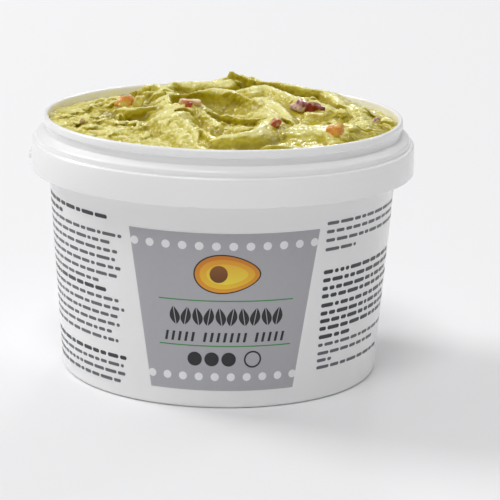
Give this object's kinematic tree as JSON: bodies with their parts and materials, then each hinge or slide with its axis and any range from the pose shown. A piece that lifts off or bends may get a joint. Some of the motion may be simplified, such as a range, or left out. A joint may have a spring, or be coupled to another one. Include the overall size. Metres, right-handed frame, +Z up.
{
  "type": "tub of guacamole",
  "caption": "Open round white plastic tub, filled and heaped with chunky yellow-green guacamole left in spooned swirls, a snap-lid collar round its rim.",
  "frame": {"origin": "on the floor, under the tub's upright axis, the middle of the bounding box's bottom", "axes": "+Z up along the tub's axis, -Y towards the printed front panel, +X to its right seen from the front"},
  "size_m": [0.114, 0.1134, 0.084],
  "materials": {
    "tub_plastic": "white moulded polypropylene, satin, with a plain grey printed panel",
    "guacamole_dip": "moist mashed avocado, yellow-green, softly glossy, with bits of pepper and onion"
  },
  "bodies": {
    "root": {"tub": "tub_plastic", "guacamole": "guacamole_dip"}
  },
  "joints": []
}
